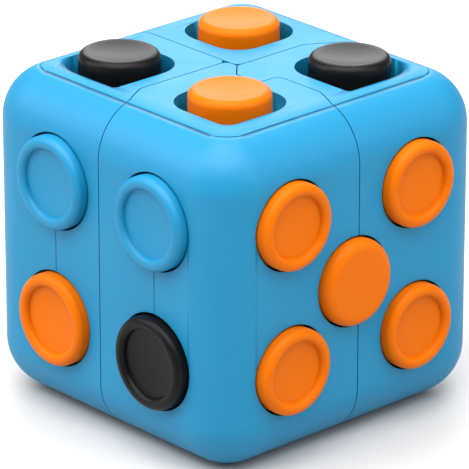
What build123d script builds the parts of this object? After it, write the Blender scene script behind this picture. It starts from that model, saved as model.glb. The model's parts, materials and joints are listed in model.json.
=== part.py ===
from build123d import *
import os
from math import radians, sin

# A fidget cube: a rounded plastic cube with something to press, spin or flip on five sides
# and a thumb dish underneath.  Millimetres, +Z up, origin at the middle of the underside.

# ---- driving dimensions ------------------------------------------------------------------
SIDE = 33.4  # across the cube, without the buttons that stand proud of it
HEIGHT = 32.2
HALF = SIDE / 2
MID = HEIGHT / 2
EDGE_R = 5.1  # round-over on every edge and corner
WALL = 2.0  # side walls of the corner shells
INNER_R = 1.5
SEAM = 0.12  # width of every parting line
RUN = 0.05  # radial running clearance of a pin or stem in its bore
TOUCH = 0.02  # air left between two faces that bear on each other

# top and bottom panels, which drop into a stepped recess in the shells
PANEL_HALF = 13.2
PANEL_R = 2.0
PANEL_DEPTH = 1.8
LEDGE_HALF = 12.6  # opening inside the ledge they sit on
LEDGE_DEPTH = 3.4
SPIGOT_HALF = 12.5  # the part of a panel inside the ledge
SPIGOT_R = 1.2
TILE_DEPTH = 3.8
COVER_DEPTH = 3.0
DISH_R = 9.5
DISH_DEPTH = 1.5

# top buttons and their pockets
POCKET_HALF = 4.6
POCKET_DEPTH = 2.6
POCKET_R = 3.4
TOP_CAP_R = 3.85
TOP_CAP_GAP = 0.15
TOP_CAP_HEIGHT = 1.3  # above the cube
TOP_CAP_EDGE = 0.75
TOP_CAP_DISH = 0.3
TOP_FLANGE_R = 4.35

# ring buttons on the front and right, and the plain one in the middle of the right
FRONT_PITCH = 6.8
FRONT_CENTRE = (0.7, 0.5)  # middle of the four, from the middle of the face
FRONT_CAP_R = 4.45
FRONT_FLOOR_R = 3.25
RIGHT_PITCH_Y = 7.75
RIGHT_PITCH_Z = 7.05
RIGHT_CENTRE = (-0.6, 0.4)
RIGHT_CAP_R = 4.12
RIGHT_FLOOR_R = 2.95
MIDDLE_CENTRE = (-0.7, -0.1)
MIDDLE_CAP_R = 4.17
MIDDLE_EDGE = 0.95
CAP_GAP = 0.22  # between a cap and the hole it comes through
CAP_HEIGHT = 1.15
RIM_START = 0.3  # where the side of a ring button begins to round over
FLOOR_HEIGHT = 0.55  # the flat floor inside the rim
FLANGE_REACH = 0.45  # how far a flange reaches past its hole, behind the wall
FLANGE_T = 0.8
STEM_R = 1.0
STEM_TIP = 9.85  # how near the cube's middle plane a side stem ends
TOP_STEM_TIP = 7.0
GROOVE_LENGTH = 4.2  # short marks between the upper and lower front buttons
GROOVE_DEPTH = 0.35

# return springs, about the stems
SPRING_R = 1.5  # to the middle of the wire
SPRING_WIRE = 0.32
SPRING_PITCH = 0.8

# inner core, heights measured from the cube's middle
CORE_HALF = 10.9
CORE_WALL = 1.4
CORE_BOTTOM = -12.9
CORE_TOP = 10.2
DECK_TOP = 9.0
DECK_T = 1.4
BORE_END = 8.4
COLUMN_AT = 11.2
COLUMN_R = 1.2
PEG_R = 0.6
PEG_HEIGHT = 0.7
COLLAR_IN = 11.05
COLLAR_HEIGHT = 2.4
SCREW_R = 0.55
SCREW_HEAD_R = 1.25
SCREW_HEAD_T = 0.8
SCREW_SINK = 0.25
SCREW_LENGTH = 6.5
SCREW_SLOT = 0.3

# dial on the back
DIAL_R = 8.7
DIAL_HEIGHT = 1.5
DIAL_EDGE = 0.5
DIAL_FLANGE_R = 9.5
DIAL_SCALLOPS = 24
SCALLOP_R = 0.45
FINGER_AT = 4.7
FINGER_R = 3.0
FINGER_DEPTH = 0.8
BOSS_R = 2.4
AXLE_R = 1.0
AXLE_END = 15.4
DETENT_AT = 8.2
DETENT_COUNT = 12
DIMPLE_DEPTH = 0.3
BALL_R = 0.75
GUIDE_R = 1.3
GUIDE_END = 13.2
GUIDE_FLOOR = 10.4
DETENT_SPRING_R = 0.5
DETENT_WIRE = 0.2

# rocker on the left
ROCKER_END_R = 7.5  # its ends are round about the pin
ROCKER_WIDTH = 8.0
ROCKER_RISE = 1.4  # at the ends
ROCKER_DIP = 0.5  # at the middle
ROCKER_BELLY = 1.3
PIVOT_DEPTH = 2.2
ROCKER_PIN_R = 0.7
ROCKER_GAP = 0.2
FRAME_WALL = 1.4
FRAME_R = 1.6
FRAME_RISE = 0.4

# ---- faces of the cube -------------------------------------------------------------------
# On each one z points out of the cube and is 0 at its surface.
FACE = {
    "top": Plane(origin=(0, 0, HEIGHT), x_dir=(1, 0, 0), z_dir=(0, 0, 1)),
    "front": Plane(origin=(0, -HALF, MID), x_dir=(1, 0, 0), z_dir=(0, -1, 0)),
    "right": Plane(origin=(HALF, 0, MID), x_dir=(0, 1, 0), z_dir=(1, 0, 0)),
    "back": Plane(origin=(0, HALF, MID), x_dir=(-1, 0, 0), z_dir=(0, 1, 0)),
    "left": Plane(origin=(-HALF, 0, MID), x_dir=(0, -1, 0), z_dir=(-1, 0, 0)),
    "bottom": Plane(origin=(0, 0, 0), x_dir=(1, 0, 0), z_dir=(0, 0, -1)),
}
FLANGE_TOP = -WALL - TOUCH
FLANGE_BOTTOM = FLANGE_TOP - FLANGE_T
TOP_FLANGE_TOP = -TILE_DEPTH - TOUCH
TOP_FLANGE_BOTTOM = TOP_FLANGE_TOP - FLANGE_T

CORNERS = {
    "front_left": (-1, -1),
    "front_right": (1, -1),
    "back_left": (-1, 1),
    "back_right": (1, 1),
}
FRONT_BUTTONS = {
    "upper_left": (-1, 1),
    "upper_right": (1, 1),
    "lower_left": (-1, -1),
    "lower_right": (1, -1),
}
RIGHT_BUTTONS = {
    "upper_front": (-1, 1),
    "upper_back": (1, 1),
    "lower_front": (-1, -1),
    "lower_back": (1, -1),
}
FRONT_SPOTS = {
    name: (FRONT_CENTRE[0] + u * FRONT_PITCH, FRONT_CENTRE[1] + v * FRONT_PITCH)
    for name, (u, v) in FRONT_BUTTONS.items()
}
RIGHT_SPOTS = {
    name: (RIGHT_CENTRE[0] + u * RIGHT_PITCH_Y, RIGHT_CENTRE[1] + v * RIGHT_PITCH_Z)
    for name, (u, v) in RIGHT_BUTTONS.items()
}
# how far each top button sits from the middle both ways; one diagonal is set wider
TOP_AT = {"front_left": 7.5, "front_right": 6.75, "back_left": 6.75, "back_right": 7.5}
# radius of each pocket's corner nearest the cube's front right edge
POCKET_NEAR_R = {"front_left": 0.5, "front_right": 1.3, "back_left": 2.8, "back_right": 0.5}

# The four tiles lock together along these lines, each running out from the middle.
MID_A = (-1.3, 0.2)
MID_B = (0.15, 0.2)
SEAM_FRONT = [MID_A, (-1.3, -10.4), (0, -12.8), (0, -20)]
LEFT_END = (-20, 0.2)
SEAM_BACK = [MID_B, (0.15, 8.6), (2.6, 12.7), (2.6, 20)]
SEAM_RIGHT = [MID_B, (1.9, -1.5), (4.85, -1.5), (4.85, 1.0), (10.4, 1.0), (12.8, 0), (20, 0)]
TILE_OUTLINES = {
    "front_left": [LEFT_END] + SEAM_FRONT + [(-20, -20)],
    "front_right": SEAM_FRONT[::-1] + SEAM_RIGHT + [(20, -20)],
    "back_left": [LEFT_END] + SEAM_BACK + [(-20, 20)],
    "back_right": SEAM_BACK[::-1] + SEAM_RIGHT[1:] + [(20, 20)],
}
SEAM_BEND_R = 0.8


# ---- helpers -----------------------------------------------------------------------------
def put(face, part, u=0.0, v=0.0):
    """A part modelled on a face's own axes, moved onto that face at u, v."""
    return FACE[face].location * Pos(u, v, 0) * part


def disc(radius, low, high):
    """A cylinder on z between two heights."""
    base = (Align.CENTER, Align.CENTER, Align.MIN)
    return Pos(0, 0, low) * Cylinder(radius, high - low, align=base)


def slab(half, low, high, corner):
    """A square plate between two heights, with round corners."""
    return Pos(0, 0, low) * extrude(RectangleRounded(2 * half, 2 * half, corner), high - low)


def block(low, high):
    """A box between two opposite corners."""
    size = [b - a for a, b in zip(low, high)]
    return Pos(*low) * Box(*size, align=(Align.MIN, Align.MIN, Align.MIN))


def turned(*edges):
    """The solid a closed outline in the XZ plane makes when turned about z."""
    return revolve(make_face(Wire(edges)), Axis.Z)


def path(points):
    """Straight lines through (radius, height) points."""
    spots = [(r, 0, z) for r, z in points]
    return [Line(a, b) for a, b in zip(spots, spots[1:])]


def hollow(radius, depth):
    """The ball that presses a shallow dish of a given radius and depth into z = 0."""
    ball_r = (radius**2 + depth**2) / (2 * depth)
    return Pos(0, 0, ball_r - depth) * Sphere(ball_r)


def spring(length, radius=SPRING_R, wire=SPRING_WIRE):
    """A compression spring standing on z = 0."""
    rise = length - wire
    turns = max(3, round(rise / SPRING_PITCH))
    coil = Helix(pitch=rise / turns, height=rise, radius=radius)
    section = Plane(coil @ 0, z_dir=coil % 0) * Circle(wire / 2)
    return Pos(0, 0, wire / 2) * sweep(section, path=coil, is_frenet=True)


def stem_and_flange(tip, bottom, top, reach, radius):
    """Outline points from the tip of a stem out round its flange to the side of the cap."""
    return [(0, tip), (STEM_R, tip), (STEM_R, bottom), (reach, bottom), (reach, top), (radius, top)]


# ---- buttons -----------------------------------------------------------------------------
def ring_button(radius, floor_r):
    """A round rim about a flat floor, with its flange behind the wall and a stem."""
    reach = radius + CAP_GAP + FLANGE_REACH
    base = stem_and_flange(STEM_TIP - HALF, FLANGE_BOTTOM, FLANGE_TOP, reach, radius)
    crest = (radius + floor_r) / 2
    rim = ThreePointArc(
        (radius, 0, RIM_START), (crest, 0, CAP_HEIGHT), (floor_r, 0, FLOOR_HEIGHT)
    )
    floor = path([(floor_r, FLOOR_HEIGHT), (0, FLOOR_HEIGHT), (0, STEM_TIP - HALF)])
    return turned(*path(base + [(radius, RIM_START)]), rim, *floor)


def crowned_button(radius, edge, height, base):
    """A plain flat crown with a round edge."""
    low = height - edge
    turn = edge * (1 - sin(radians(45)))
    arc = ThreePointArc((radius, 0, low), (radius - turn, 0, height - turn), (radius - edge, 0, height))
    top = path([(radius - edge, height), (0, height), base[0]])
    return turned(*path(base + [(radius, low)]), arc, *top)


def middle_button():
    reach = MIDDLE_CAP_R + CAP_GAP + FLANGE_REACH
    base = stem_and_flange(STEM_TIP - HALF, FLANGE_BOTTOM, FLANGE_TOP, reach, MIDDLE_CAP_R)
    return crowned_button(MIDDLE_CAP_R, MIDDLE_EDGE, CAP_HEIGHT, base)


def top_button():
    tip = TOP_STEM_TIP - MID
    base = stem_and_flange(tip, TOP_FLANGE_BOTTOM, TOP_FLANGE_TOP, TOP_FLANGE_R, TOP_CAP_R)
    button = crowned_button(TOP_CAP_R, TOP_CAP_EDGE, TOP_CAP_HEIGHT, base)
    return button - Pos(0, 0, TOP_CAP_HEIGHT) * hollow(TOP_CAP_R - TOP_CAP_EDGE, TOP_CAP_DISH)


# ---- housing -----------------------------------------------------------------------------
def cube_body():
    cube = Pos(0, 0, MID) * Box(SIDE, SIDE, HEIGHT)
    return fillet(cube.edges(), EDGE_R)


def frame_outline_half():
    """Half length and half width of the rocker's frame."""
    return ROCKER_END_R + 0.15 + FRAME_WALL, ROCKER_WIDTH / 2 + ROCKER_GAP + FRAME_WALL


def hollow_body(body):
    """The whole shell in one piece, with every opening in it."""
    inner = HALF - WALL
    recess_r = PANEL_R + SEAM
    shell = body - slab(inner, LEDGE_DEPTH, HEIGHT - LEDGE_DEPTH, INNER_R)
    shell -= slab(LEDGE_HALF, -1, HEIGHT + 1, SPIGOT_R)
    shell -= slab(PANEL_HALF + SEAM, -1, PANEL_DEPTH, recess_r)
    shell -= slab(PANEL_HALF + SEAM, HEIGHT - PANEL_DEPTH, HEIGHT + 1, recess_r)
    through = -WALL - 1
    for u, v in FRONT_SPOTS.values():
        shell -= put("front", disc(FRONT_CAP_R + CAP_GAP, through, 1), u, v)
    for u, v in RIGHT_SPOTS.values():
        shell -= put("right", disc(RIGHT_CAP_R + CAP_GAP, through, 1), u, v)
    shell -= put("right", disc(MIDDLE_CAP_R + CAP_GAP, through, 1), *MIDDLE_CENTRE)
    shell -= put("back", disc(DIAL_R + CAP_GAP, through, 1))
    length, width = frame_outline_half()
    opening = RectangleRounded(2 * width + SEAM, 2 * length + SEAM, FRAME_R)
    shell -= put("left", Pos(0, 0, through) * extrude(opening, WALL + 2))
    mark = Pos(0, 0, -GROOVE_DEPTH / 2) * Box(SEAM, GROOVE_LENGTH, GROOVE_DEPTH)
    for side in (-1, 1):
        shell -= put("front", mark, FRONT_CENTRE[0] + side * FRONT_PITCH, FRONT_CENTRE[1])
    return shell


def corner_shell(whole, sx, sy):
    """One quarter of the shell, with the collar that holds it to a column of the core."""
    near, far = SEAM / 2, SIDE
    quarter = whole & block(
        (min(sx * near, sx * far), min(sy * near, sy * far), -1),
        (max(sx * near, sx * far), max(sy * near, sy * far), HEIGHT + 1),
    )
    outer = HALF - WALL + 0.1
    low = MID - COLLAR_HEIGHT / 2
    collar = block(
        (min(sx * COLLAR_IN, sx * outer), min(sy * COLLAR_IN, sy * outer), low),
        (max(sx * COLLAR_IN, sx * outer), max(sy * COLLAR_IN, sy * outer), low + COLLAR_HEIGHT),
    )
    collar -= Pos(sx * COLUMN_AT, sy * COLUMN_AT, 0) * disc(COLUMN_R + RUN, low - 1, MID + COLLAR_HEIGHT)
    return quarter + collar


def pocket(near_r):
    """The rounded recess round a top button, modelled about its own middle."""
    size = 2 * POCKET_HALF
    hole = Pos(0, 0, HEIGHT - POCKET_DEPTH) * Box(size, size, 9, align=(Align.CENTER, Align.CENTER, Align.MIN))
    uprights = hole.edges().filter_by(Axis.Z).sort_by(lambda e: e.center().X - e.center().Y)
    hole = fillet(uprights[:3], POCKET_R)
    uprights = hole.edges().filter_by(Axis.Z).sort_by(lambda e: e.center().X - e.center().Y)
    corner = [e for e in uprights if e.center().X > POCKET_HALF - 0.01 and e.center().Y < 0.01 - POCKET_HALF]
    return fillet(corner, near_r)


def top_tile(body, name):
    sx, sy = CORNERS[name]
    region = make_face(FilletPolyline(*TILE_OUTLINES[name], radius=SEAM_BEND_R, close=True))
    region = offset(region, -SEAM / 2, kind=Kind.INTERSECTION)
    under = HEIGHT - TILE_DEPTH
    panel = slab(PANEL_HALF, HEIGHT - PANEL_DEPTH + TOUCH, HEIGHT + 1, PANEL_R)
    panel += slab(SPIGOT_HALF, under, HEIGHT - PANEL_DEPTH + 0.5, SPIGOT_R)
    tile = panel & body & extrude(region, HEIGHT + 2)
    at = Pos(sx * TOP_AT[name], sy * TOP_AT[name], 0)
    tile -= at * pocket(POCKET_NEAR_R[name])
    tile -= at * disc(TOP_CAP_R + TOP_CAP_GAP, under - 1, HEIGHT)
    tile -= Pos(sx * COLUMN_AT, sy * COLUMN_AT, 0) * disc(PEG_R + RUN, under - 1, under + PEG_HEIGHT + 0.1)
    return tile


def column_spots():
    return [Pos(sx * COLUMN_AT, sy * COLUMN_AT, 0) for sx, sy in CORNERS.values()]


def screw_form(shank_r, head_r, length):
    """A countersunk screw pointing up from the sunk plane of its head."""
    cone = path([(0, 0), (head_r, 0), (shank_r, SCREW_HEAD_T), (shank_r, length), (0, length), (0, 0)])
    return Pos(0, 0, SCREW_SINK) * turned(*cone)


def bottom_cover(body):
    cover = slab(PANEL_HALF, -1, PANEL_DEPTH - TOUCH, PANEL_R)
    cover += slab(SPIGOT_HALF, PANEL_DEPTH - 0.5, COVER_DEPTH, SPIGOT_R)
    cover &= body
    cover -= put("bottom", hollow(DISH_R, DISH_DEPTH))
    for spot in column_spots():
        cover -= spot * screw_form(SCREW_R + RUN, SCREW_HEAD_R + RUN, SCREW_LENGTH)
        cover -= spot * disc(SCREW_HEAD_R + RUN, -1, SCREW_SINK + 0.01)
    return cover


def cover_screws():
    screw = screw_form(SCREW_R, SCREW_HEAD_R, SCREW_LENGTH)
    screw -= Pos(0, 0, SCREW_SINK) * Box(2 * SCREW_HEAD_R, SCREW_SLOT, 0.6)
    return Compound([spot * screw for spot in column_spots()])


def core_frame():
    """The box inside: walls for the springs to push on, a deck, columns, a boss and a guide."""
    low, high = MID + CORE_BOTTOM, MID + CORE_TOP
    under = HEIGHT - TILE_DEPTH
    inside = CORE_HALF - CORE_WALL
    core = slab(CORE_HALF, low, high, 0.5) - slab(inside, low - 1, high + 1, 0.5)
    core += slab(inside + 0.2, MID + DECK_TOP - DECK_T, MID + DECK_TOP, 0.5)
    for spot in column_spots():
        core += spot * disc(COLUMN_R, COVER_DEPTH + TOUCH, high)
        core += spot * disc(PEG_R, high - 1, under + PEG_HEIGHT)
        core -= spot * disc(SCREW_R + TOUCH, COVER_DEPTH - 1, SCREW_SINK + SCREW_LENGTH + 0.3)
    core += put("back", disc(BOSS_R, CORE_HALF - HALF - 0.2, FLANGE_BOTTOM - TOUCH))
    core += put("back", disc(AXLE_R, CORE_HALF - HALF, AXLE_END - HALF))
    core += put("back", disc(GUIDE_R, CORE_HALF - HALF - 0.2, GUIDE_END - HALF), DETENT_AT)
    core -= put("back", disc(BALL_R + RUN, GUIDE_FLOOR - HALF, 0), DETENT_AT)
    bore = disc(STEM_R + RUN, BORE_END - HALF, CORE_HALF - HALF + 1)
    for u, v in FRONT_SPOTS.values():
        core -= put("front", bore, u, v)
    for u, v in [*RIGHT_SPOTS.values(), MIDDLE_CENTRE]:
        core -= put("right", bore, u, v)
    for name, (sx, sy) in CORNERS.items():
        core -= Pos(sx * TOP_AT[name], sy * TOP_AT[name], 0) * disc(STEM_R + RUN, MID, HEIGHT)
    return core


# ---- dial --------------------------------------------------------------------------------
def spin_dial():
    low = DIAL_HEIGHT - DIAL_EDGE
    turn = DIAL_EDGE * (1 - sin(radians(45)))
    edge = ThreePointArc(
        (DIAL_R, 0, low), (DIAL_R - turn, 0, DIAL_HEIGHT - turn), (DIAL_R - DIAL_EDGE, 0, DIAL_HEIGHT)
    )
    base = path(
        [
            (0, FLANGE_BOTTOM),
            (DIAL_FLANGE_R, FLANGE_BOTTOM),
            (DIAL_FLANGE_R, FLANGE_TOP),
            (DIAL_R, FLANGE_TOP),
            (DIAL_R, low),
        ]
    )
    top = path([(DIAL_R - DIAL_EDGE, DIAL_HEIGHT), (0, DIAL_HEIGHT), (0, FLANGE_BOTTOM)])
    dial = turned(*base, edge, *top)
    dial -= disc(AXLE_R + RUN, FLANGE_BOTTOM - 1, AXLE_END - HALF + 0.1)
    dial -= Pos(0, FINGER_AT, DIAL_HEIGHT) * hollow(FINGER_R, FINGER_DEPTH)
    for k in range(DIAL_SCALLOPS):
        around = Rot(0, 0, k * 360 / DIAL_SCALLOPS)
        dial -= around * Pos(DIAL_R + SCALLOP_R / 2, 0, 0) * disc(SCALLOP_R, 0.2, DIAL_HEIGHT + 1)
    dimple_r = BALL_R + RUN
    for k in range(DETENT_COUNT):
        around = Rot(0, 0, k * 360 / DETENT_COUNT)
        dial -= around * Pos(DETENT_AT, 0, FLANGE_BOTTOM + DIMPLE_DEPTH - dimple_r) * Sphere(dimple_r)
    return dial


# ---- rocker ------------------------------------------------------------------------------
def along_u(radius, half):
    """A pin on the rocker's axis."""
    return Pos(0, 0, -PIVOT_DEPTH) * Rot(0, 90, 0) * Cylinder(radius, 2 * half)


def flip_switch():
    half = ROCKER_END_R + 1
    rise = ROCKER_DIP + (ROCKER_RISE - ROCKER_DIP) * half / ROCKER_END_R
    low = -PIVOT_DEPTH - ROCKER_BELLY
    side = [(half, rise), (0, ROCKER_DIP), (-half, rise), (-half, -1.2), (-2.5, low), (2.5, low), (half, -1.2)]
    profile = make_face(Polyline(*[(0, v, z) for v, z in side], close=True))
    switch = Pos(-ROCKER_WIDTH / 2, 0, 0) * extrude(profile, ROCKER_WIDTH, dir=(1, 0, 0))
    switch &= along_u(ROCKER_END_R, ROCKER_WIDTH)
    uppers = [e for e in switch.edges() if e.center().Z > 0.3]
    switch = fillet(uppers, 0.35)
    return switch - along_u(ROCKER_PIN_R + RUN, ROCKER_WIDTH)


def flip_frame():
    length, width = frame_outline_half()
    low = CORE_HALF - HALF + TOUCH
    frame = Pos(0, 0, low) * extrude(RectangleRounded(2 * width, 2 * length, FRAME_R), FRAME_RISE - low)
    rim = frame.faces().sort_by(Axis.Z)[-1].edges()
    frame = fillet(rim, 0.3)
    opening = RectangleRounded(2 * (width - FRAME_WALL), 2 * (length - FRAME_WALL), 0.4)
    frame -= Pos(0, 0, low - 1) * extrude(opening, FRAME_RISE - low + 2)
    return frame - along_u(ROCKER_PIN_R + TOUCH, width - 0.4)


# ---- everything --------------------------------------------------------------------------
def side_spring():
    return Pos(0, 0, CORE_HALF - HALF) * spring(FLANGE_BOTTOM - (CORE_HALF - HALF))


def build():
    parts = {}
    body = cube_body()
    whole = hollow_body(body)
    for name, (sx, sy) in CORNERS.items():
        parts["corner_shell_" + name] = corner_shell(whole, sx, sy)
        parts["top_tile_" + name] = top_tile(body, name)
        u, v = sx * TOP_AT[name], sy * TOP_AT[name]
        parts["top_button_" + name] = put("top", top_button(), u, v)
        deck = DECK_TOP - MID
        coil = Pos(0, 0, deck) * spring(TOP_FLANGE_BOTTOM - deck)
        parts["top_spring_" + name] = put("top", coil, u, v)
    for name, (u, v) in FRONT_SPOTS.items():
        parts["front_button_" + name] = put("front", ring_button(FRONT_CAP_R, FRONT_FLOOR_R), u, v)
        parts["front_spring_" + name] = put("front", side_spring(), u, v)
    for name, (u, v) in RIGHT_SPOTS.items():
        parts["right_button_" + name] = put("right", ring_button(RIGHT_CAP_R, RIGHT_FLOOR_R), u, v)
        parts["right_spring_" + name] = put("right", side_spring(), u, v)
    parts["right_button_middle"] = put("right", middle_button(), *MIDDLE_CENTRE)
    parts["right_spring_middle"] = put("right", side_spring(), *MIDDLE_CENTRE)
    parts["bottom_cover"] = bottom_cover(body)
    parts["cover_screws"] = cover_screws()
    parts["core_frame"] = core_frame()
    parts["spin_dial"] = put("back", spin_dial())
    ball_at = FLANGE_BOTTOM - TOUCH - BALL_R
    parts["dial_detent_ball"] = put("back", Pos(0, 0, ball_at) * Sphere(BALL_R), DETENT_AT)
    reach = HALF + ball_at - BALL_R - GUIDE_FLOOR
    coil = spring(reach, DETENT_SPRING_R, DETENT_WIRE)
    parts["dial_detent_spring"] = put("back", Pos(0, 0, GUIDE_FLOOR - HALF) * coil, DETENT_AT)
    parts["flip_switch"] = put("left", flip_switch())
    parts["flip_frame"] = put("left", flip_frame())
    width = frame_outline_half()[1]
    parts["flip_pin"] = put("left", along_u(ROCKER_PIN_R, width - 0.5))
    return parts


os.makedirs("parts", exist_ok=True)
for node, shape in build().items():
    shape.label = node
    export_step(shape, f"parts/{node}.step")
    print(f"{node:28s} {len(shape.solids())} solid  {shape.volume:9.1f} mm3")
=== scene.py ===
import json
import math
import bmesh
import bpy
from mathutils import Matrix, Vector

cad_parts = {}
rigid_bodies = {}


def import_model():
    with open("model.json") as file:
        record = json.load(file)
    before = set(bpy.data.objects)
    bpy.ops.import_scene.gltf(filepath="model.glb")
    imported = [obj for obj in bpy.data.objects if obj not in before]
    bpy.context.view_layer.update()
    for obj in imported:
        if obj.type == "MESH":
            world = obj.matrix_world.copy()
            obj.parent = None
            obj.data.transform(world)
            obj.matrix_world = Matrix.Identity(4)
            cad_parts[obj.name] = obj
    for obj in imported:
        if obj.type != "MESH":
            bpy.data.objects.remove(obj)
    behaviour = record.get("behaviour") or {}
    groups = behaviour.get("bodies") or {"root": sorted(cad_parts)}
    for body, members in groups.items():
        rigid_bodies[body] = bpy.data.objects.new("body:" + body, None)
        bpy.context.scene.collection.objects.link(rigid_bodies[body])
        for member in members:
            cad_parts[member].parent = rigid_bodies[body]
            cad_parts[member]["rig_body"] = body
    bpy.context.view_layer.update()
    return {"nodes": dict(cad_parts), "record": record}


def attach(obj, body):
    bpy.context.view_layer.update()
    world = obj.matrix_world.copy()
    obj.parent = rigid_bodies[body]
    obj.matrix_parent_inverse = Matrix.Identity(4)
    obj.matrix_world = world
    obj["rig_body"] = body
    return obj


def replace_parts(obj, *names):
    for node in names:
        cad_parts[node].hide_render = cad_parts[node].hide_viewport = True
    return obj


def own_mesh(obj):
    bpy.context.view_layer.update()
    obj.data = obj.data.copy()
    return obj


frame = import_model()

nodes = frame["nodes"]
mm = 0.001

cube = {
    "side": 33.4 * mm,
    "height": 32.2 * mm,
    "curveAngle": 32,  # degrees between faces that still shade as one curve
    "flatAngle": 0.2,  # degrees between triangles that are one flat face
    "merge": 0.002 * mm,
    "near": 0.02 * mm,  # how closely an edge is found by its place
}
half = cube["side"] / 2
middle = Vector((0, 0, cube["height"] / 2))


# tools for building materials
class Tap:
    # one socket that can take part in sums
    def __init__(self, finish, socket):
        self.finish = finish
        self.socket = socket

    def sum(self, operation, first, second):
        return self.finish.node("ShaderNodeMath", {"operation": operation}, {0: first, 1: second})

    def __add__(self, other):
        return self.sum("ADD", self, other)

    def __mul__(self, other):
        return self.sum("MULTIPLY", self, other)

    __radd__ = __add__
    __rmul__ = __mul__


class Finish:
    # a material under construction
    def __init__(self, name):
        self.material = bpy.data.materials.new(name)
        self.material.use_nodes = True
        self.tree = self.material.node_tree
        self.tree.nodes.clear()
        self.place = self.node("ShaderNodeTexCoord", out="Object")

    def node(self, kind, settings=None, sockets=None, out=0):
        made = self.tree.nodes.new(kind)
        for name, value in (settings or {}).items():
            if name == "stops":
                self.setStops(made.color_ramp, value)
            else:
                setattr(made, name, value)
        for name, value in (sockets or {}).items():
            if isinstance(value, Tap):
                self.tree.links.new(value.socket, made.inputs[name])
            else:
                made.inputs[name].default_value = value
        return Tap(self, made.outputs[out])

    def setStops(self, ramp, stops):
        while len(ramp.elements) < len(stops):
            ramp.elements.new(0.5)
        for element, (position, value) in zip(ramp.elements, stops):
            element.position = position
            element.color = (value, value, value, 1)

    def ramp(self, value, stops):
        return self.node("ShaderNodeValToRGB", {"stops": stops}, {"Fac": value})

    def noise(self, scale, detail=2.0, rough=0.5, vector=None):
        sockets = {"Vector": vector or self.place, "Scale": scale, "Detail": detail, "Roughness": rough}
        return self.node("ShaderNodeTexNoise", None, sockets)

    def mix(self, amount, first, second):
        sockets = {"Factor": amount, 6: first, 7: second}
        return self.node("ShaderNodeMix", {"data_type": "RGBA"}, sockets, out=2)

    def bump(self, height, distance, strength=1.0, normal=None):
        sockets = {"Height": height, "Distance": distance, "Strength": strength}
        if normal:
            sockets["Normal"] = normal
        return self.node("ShaderNodeBump", None, sockets)


def surfaced(finish, shader):
    # closes a material with its one shader
    made = finish.tree.nodes.new("ShaderNodeOutputMaterial")
    finish.tree.links.new(shader.socket, made.inputs["Surface"])
    return finish.material


def mouldedPlastic(name, look):
    f = Finish(name)
    cloud = f.noise(look["cloudScale"], 2.0)
    grain = f.noise(look["grainScale"], 2.0, 0.6)
    smear = f.ramp(f.noise(look["smearScale"], 4.0, 0.6), [(0.35, 0.0), (0.75, 1.0)])
    speck = f.ramp(f.noise(look["speckScale"], 0.0), [(0.72, 0.0), (0.78, 1.0)])
    colour = f.mix(cloud, (*look["colour"], 1), (*look["deep"], 1))
    colour = f.mix(speck * look["speckAmount"], colour, (*look["speckColour"], 1))
    rough = look["rough"] + look["roughSpread"] * smear + look["roughGrain"] * grain
    normal = f.bump(grain, look["grainDepth"])
    normal = f.bump(cloud, look["waveDepth"], normal=normal)
    shader = f.node(
        "ShaderNodeBsdfPrincipled",
        None,
        {
            "Base Color": colour,
            "Roughness": rough,
            "IOR": 1.5,
            "Specular IOR Level": look["shine"],
            "Normal": normal,
        },
    )
    return surfaced(f, shader)


def lookOf(colour, deep, speck, **changes):
    look = {
        "colour": colour,
        "deep": deep,
        "speckColour": speck,
        "speckAmount": 0.06,
        "cloudScale": 55.0,
        "grainScale": 5200.0,
        "smearScale": 260.0,
        "speckScale": 2400.0,
        "grainDepth": 0.004 * mm,
        "waveDepth": 0.06 * mm,
        "rough": 0.30,
        "roughSpread": 0.07,
        "roughGrain": 0.05,
        "shine": 0.12,
    }
    look.update(changes)
    return look


looks = {
    "blue_plastic": lookOf(
        (0.004, 0.192, 0.365), (0.003, 0.178, 0.341), (0.03, 0.24, 0.42), shine=0.3, rough=0.44
    ),
    "orange_plastic": lookOf((0.60, 0.123, 0.001), (0.56, 0.114, 0.001), (0.85, 0.24, 0.02), shine=0.06),
    "black_plastic": lookOf((0.004, 0.004, 0.0042), (0.003, 0.003, 0.0032), (0.02, 0.02, 0.02), shine=0.12),
    "white_plastic": lookOf((0.74, 0.74, 0.71), (0.70, 0.70, 0.67), (0.6, 0.6, 0.55), rough=0.5),
}


steel = {
    "streakScale": 2600.0,
    "stainScale": 300.0,
    "bright": (0.56, 0.56, 0.57, 1),
    "stained": (0.40, 0.39, 0.38, 1),
    "rough": 0.25,
    "roughStreak": 0.2,
    "streakDepth": 0.002 * mm,
}


def drawnSteel(name):
    f = Finish(name)
    streak = f.noise(steel["streakScale"], 3.0, 0.6)
    stain = f.ramp(f.noise(steel["stainScale"], 3.0), [(0.4, 0.0), (0.8, 1.0)])
    shader = f.node(
        "ShaderNodeBsdfPrincipled",
        None,
        {
            "Base Color": f.mix(stain, steel["bright"], steel["stained"]),
            "Metallic": 1.0,
            "Roughness": steel["rough"] + steel["roughStreak"] * streak,
            "Normal": f.bump(streak, steel["streakDepth"]),
        },
    )
    return surfaced(f, shader)


materials = {name: mouldedPlastic(name.replace("_", " "), look) for name, look in looks.items()}
materials["spring_steel"] = drawnSteel("spring steel")
print("finishes ready:", ", ".join(materials))

slotOf = {row["node"]: row["material_slot"] for row in frame["record"]["subparts"]}
for name, node in nodes.items():
    node.data.materials.clear()
    node.data.materials.append(materials[slotOf[name]])


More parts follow.
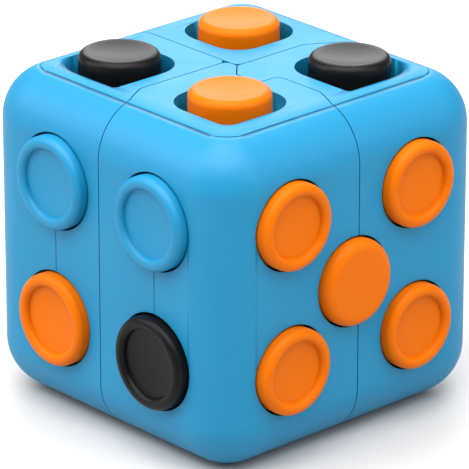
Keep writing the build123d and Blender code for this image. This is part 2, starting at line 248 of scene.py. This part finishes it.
def smoothCopy(name):
    # a moulded part with its triangles joined, so that its curves shade smoothly
    node = nodes[name]
    mesh = node.data.copy()
    bm = bmesh.new()
    bm.from_mesh(mesh)
    bmesh.ops.remove_doubles(bm, verts=bm.verts, dist=cube["merge"])
    bmesh.ops.dissolve_degenerate(bm, dist=cube["merge"], edges=bm.edges)
    bmesh.ops.dissolve_limit(bm, angle_limit=math.radians(cube["flatAngle"]), verts=bm.verts, edges=bm.edges)
    bm.to_mesh(mesh)
    bm.free()
    mesh.shade_smooth()
    mesh.set_sharp_from_angle(angle=math.radians(cube["curveAngle"]))
    made = bpy.data.objects.new(name + "_moulded", mesh)
    bpy.context.scene.collection.objects.link(made)
    flats = made.modifiers.new("flats", "WEIGHTED_NORMAL")
    flats.keep_sharp = True
    flats.weight = 100
    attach(made, node["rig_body"])
    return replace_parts(made, name)


# each face of the cube as a matrix: x and y lie on the face, z points out of it
def faceMatrix(origin, across, out):
    across, out = Vector(across), Vector(out)
    up = out.cross(across)
    turn = Matrix((across, up, out)).transposed().to_4x4()
    return Matrix.Translation(Vector(origin)) @ turn


faces = {
    "top": faceMatrix((0, 0, cube["height"]), (1, 0, 0), (0, 0, 1)),
    "front": faceMatrix((0, -half, middle.z), (1, 0, 0), (0, -1, 0)),
    "right": faceMatrix((half, 0, middle.z), (0, 1, 0), (1, 0, 0)),
}


def turnProfile(bm, corners, steps):
    # the outline's corners in millimetres as (radius, height), spun about z into a closed body
    spots = [bm.verts.new((r * mm, 0, z * mm)) for r, z in corners]
    lines = [bm.edges.new(pair) for pair in zip(spots, spots[1:])]
    bmesh.ops.spin(
        bm,
        geom=spots + lines,
        axis=(0, 0, 1),
        cent=(0, 0, 0),
        steps=steps,
        angle=math.tau,
        use_merge=True,
    )
    bmesh.ops.remove_doubles(bm, verts=bm.verts, dist=cube["merge"])
    bmesh.ops.recalc_face_normals(bm, faces=bm.faces)


def ringEdges(bm, radius, height):
    # the edges that run round the piece at one radius and height
    def near(vert):
        return (
            abs(vert.co.xy.length - radius * mm) < cube["near"]
            and abs(vert.co.z - height * mm) < cube["near"]
        )

    return [edge for edge in bm.edges if near(edge.verts[0]) and near(edge.verts[1])]


def roundRing(bm, radius, height, amount, segments):
    bmesh.ops.bevel(
        bm,
        geom=ringEdges(bm, radius, height),
        offset=amount * mm,
        offset_type="OFFSET",
        segments=segments,
        profile=0.5,
        material=-1,
        affect="EDGES",
    )


def settle(bm, name, where, body, slotName, *stoodFor):
    # gives the bmesh its place, its finish and its ride
    bmesh.ops.transform(bm, matrix=where, verts=bm.verts)
    mesh = bpy.data.meshes.new(name)
    bm.to_mesh(mesh)
    bm.free()
    mesh.shade_smooth()
    mesh.set_sharp_from_angle(angle=math.radians(cube["curveAngle"]))
    mesh.materials.append(materials[slotName])
    made = bpy.data.objects.new(name, mesh)
    bpy.context.scene.collection.objects.link(made)
    flats = made.modifiers.new("flats", "WEIGHTED_NORMAL")
    flats.keep_sharp = True
    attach(made, body)
    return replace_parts(made, *stoodFor)


# every button, in millimetres from the face that it stands on
button = {
    "steps": 96,
    "stemR": 1.0,
    "flangeReach": 0.67,  # how far a side button's flange stands out past its cap
    "sideFlange": (-2.82, -2.02),
    "sideStemEnd": -6.85,
    "topFlange": (-4.62, -3.82),
    "topStemEnd": -9.1,
}
corners4 = {"left": -1, "right": 1, "front": -1, "back": 1, "lower": -1, "upper": 1}


def stemAndFlange(radius, reach, flange, stemEnd):
    low, high = flange
    stemR = button["stemR"]
    return [(0, stemEnd), (stemR, stemEnd), (stemR, low), (reach, low), (reach, high), (radius, high)]


def placed(face, spot):
    return faces[face] @ Matrix.Translation((spot[0] * mm, spot[1] * mm, 0))


ring = {
    "height": 1.15,
    "floorHeight": 0.55,
    "outerRound": 0.62,
    "innerRound": 0.5,
    "floorBlend": 0.04,
    "segments": 7,
    "blendSegments": 3,
}


def ringButton(name, face, spot, radius, floorR):
    bm = bmesh.new()
    height, floor = ring["height"], ring["floorHeight"]
    reach = radius + button["flangeReach"]
    profile = stemAndFlange(radius, reach, button["sideFlange"], button["sideStemEnd"])
    profile += [(radius, height), (floorR, height), (floorR, floor), (0, floor)]
    turnProfile(bm, profile, button["steps"])
    roundRing(bm, radius, height, ring["outerRound"], ring["segments"])
    roundRing(bm, floorR, height, ring["innerRound"], ring["segments"])
    roundRing(bm, floorR, floor, ring["floorBlend"], ring["blendSegments"])
    return settle(bm, name + "_turned", placed(face, spot), nodes[name]["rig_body"], slotOf[name], name)


crown = {
    "segments": 8,
    "dishRows": 10,
    "edgeShare": 0.98,  # how much of the edge's width its rounding takes
}


def crownButton(name, face, spot, cap, base):
    # a plain crown, its top pressed into a shallow dish
    bm = bmesh.new()
    radius, top, rows = cap["radius"], cap["height"], crown["dishRows"]
    inner = radius - cap["edge"]
    shares = [1 - row / rows for row in range(rows + 1)]
    profile = base + [(radius, top)]
    profile += [(inner * share, top - cap["dish"] * (1 - share**2)) for share in shares]
    turnProfile(bm, profile, button["steps"])
    roundRing(bm, radius, top, cap["edge"] * crown["edgeShare"], crown["segments"])
    return settle(bm, name + "_turned", placed(face, spot), nodes[name]["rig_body"], slotOf[name], name)


# where each group of rings is, from the middle of its face
rings = {
    "front": {"centre": (0.7, 0.5), "pitch": (6.8, 6.8), "radius": 4.45, "floor": 3.25},
    "right": {"centre": (-0.6, 0.4), "pitch": (7.75, 7.05), "radius": 4.12, "floor": 2.95},
}

turned = set()
for side, group in rings.items():
    for name in sorted(nodes):
        words = name.split("_")
        if words[:2] != [side, "button"] or words[2] == "middle":
            continue
        spot = (
            group["centre"][0] + corners4[words[3]] * group["pitch"][0],
            group["centre"][1] + corners4[words[2]] * group["pitch"][1],
        )
        ringButton(name, side, spot, group["radius"], group["floor"])
        turned.add(name)

middleButton = {"spot": (-0.7, -0.1), "radius": 4.17, "height": 1.15, "edge": 0.95, "dish": 0.0}


def makeMiddle(name):
    radius = middleButton["radius"]
    reach = radius + button["flangeReach"]
    base = stemAndFlange(radius, reach, button["sideFlange"], button["sideStemEnd"])
    crownButton(name, "right", middleButton["spot"], middleButton, base)
    turned.add(name)


makeMiddle("right_button_middle")

# how far the top buttons stand from the middle, both ways
topButton = {
    "radius": 3.85,
    "height": 1.3,
    "edge": 0.75,
    "dish": 0.3,
    "reach": 4.35,
    "away": {"front_left": 7.5, "front_right": 6.75, "back_left": 6.75, "back_right": 7.5},
}


def makeTop(name, depth, side):
    away = topButton["away"][depth + "_" + side]
    spot = (away * corners4[side], away * corners4[depth])
    flange, stemEnd = button["topFlange"], button["topStemEnd"]
    base = stemAndFlange(topButton["radius"], topButton["reach"], flange, stemEnd)
    crownButton(name, "top", spot, topButton, base)
    turned.add(name)


for name in sorted(nodes):
    words = name.split("_")
    if words[:2] == ["top", "button"]:
        makeTop(name, words[2], words[3])
print("buttons turned:", len(turned))


def shorten(piece):
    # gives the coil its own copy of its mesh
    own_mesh(piece)


springs = 0
for name in sorted(nodes):
    if name in turned:
        continue
    piece = smoothCopy(name)
    side, kind = name.split("_")[:2]
    if kind == "spring":
        shorten(piece)
        springs += 1
print("moulded parts smoothed, springs that shorten:", springs)

studio = {
    "floorSize": 3.0,
    "floorTone": 0.46,
    "floorCloud": 0.02,  # how much paler the floor's lightest patches are
    "floorCloudScale": 8.0,
    "floorRough": 0.6,
    "world": 0.40,
    "top": {"at": (0.08, -0.14, 0.6), "size": 0.8, "power": 9.6},
    "behind": {"at": (-0.5, 0.5, 0.42), "size": 0.6, "power": 3.2},
    "left": {"at": (-0.5, -0.6, 0.5), "size": 0.75, "power": 5.6},
    "right": {"at": (0.65, 0.3, 0.5), "size": 0.75, "power": 3.4},
}


def softLight(name, spec, aim):
    data = bpy.data.lights.new(name, "AREA")
    data.shape = "DISK"
    data.size = spec["size"]
    data.energy = spec["power"]
    light = bpy.data.objects.new(name, data)
    light.visible_camera = False
    light.location = spec["at"]
    light.rotation_euler = (aim - light.location).to_track_quat("-Z", "Y").to_euler()
    bpy.context.scene.collection.objects.link(light)
    return light


def makeFloor():
    bm = bmesh.new()
    bmesh.ops.create_grid(bm, x_segments=1, y_segments=1, size=studio["floorSize"])
    mesh = bpy.data.meshes.new("floor")
    bm.to_mesh(mesh)
    bm.free()
    floor = bpy.data.objects.new("floor", mesh)
    f = Finish("pale floor")
    pale = studio["floorTone"]
    paler = pale + studio["floorCloud"]
    tone = f.mix(f.noise(studio["floorCloudScale"]), (pale, pale, pale, 1), (paler, paler, paler, 1))
    shader = f.node("ShaderNodeBsdfPrincipled", None, {"Base Color": tone, "Roughness": studio["floorRough"]})
    mesh.materials.append(surfaced(f, shader))
    bpy.context.scene.collection.objects.link(floor)
    return floor


def makeWorld():
    world = bpy.data.worlds.new("studio")
    world.use_nodes = True
    sky = world.node_tree.nodes["Background"]
    sky.inputs["Color"].default_value = (1, 1, 1, 1)
    sky.inputs["Strength"].default_value = studio["world"]
    bpy.context.scene.world = world


stage = [softLight(name, studio[name], middle) for name in ("top", "behind", "left", "right")]
stage.append(makeFloor())
makeWorld()

shot = {
    "azimuth": 47.48,
    "elevation": 22.13,
    "distance": 430.7 * mm,
    "lens": 353.6,
    "aimDrop": 0.71 * mm,
    "sensor": 36,
    "nearest": 10 * mm,
}


def makeCamera():
    data = bpy.data.cameras.new("camera")
    data.sensor_width = shot["sensor"]
    data.lens = shot["lens"]
    data.clip_start = shot["nearest"]
    camera = bpy.data.objects.new("camera", data)
    a, e = math.radians(shot["azimuth"]), math.radians(shot["elevation"])
    back = Vector((math.sin(a) * math.cos(e), -math.cos(a) * math.cos(e), math.sin(e)))
    camera.location = middle + back * shot["distance"] - Vector((0, 0, shot["aimDrop"]))
    camera.rotation_euler = (-back).to_track_quat("-Z", "Y").to_euler()
    bpy.context.scene.collection.objects.link(camera)
    bpy.context.scene.camera = camera


makeCamera()
bpy.context.scene.view_settings.view_transform = "Standard"
print("studio ready")
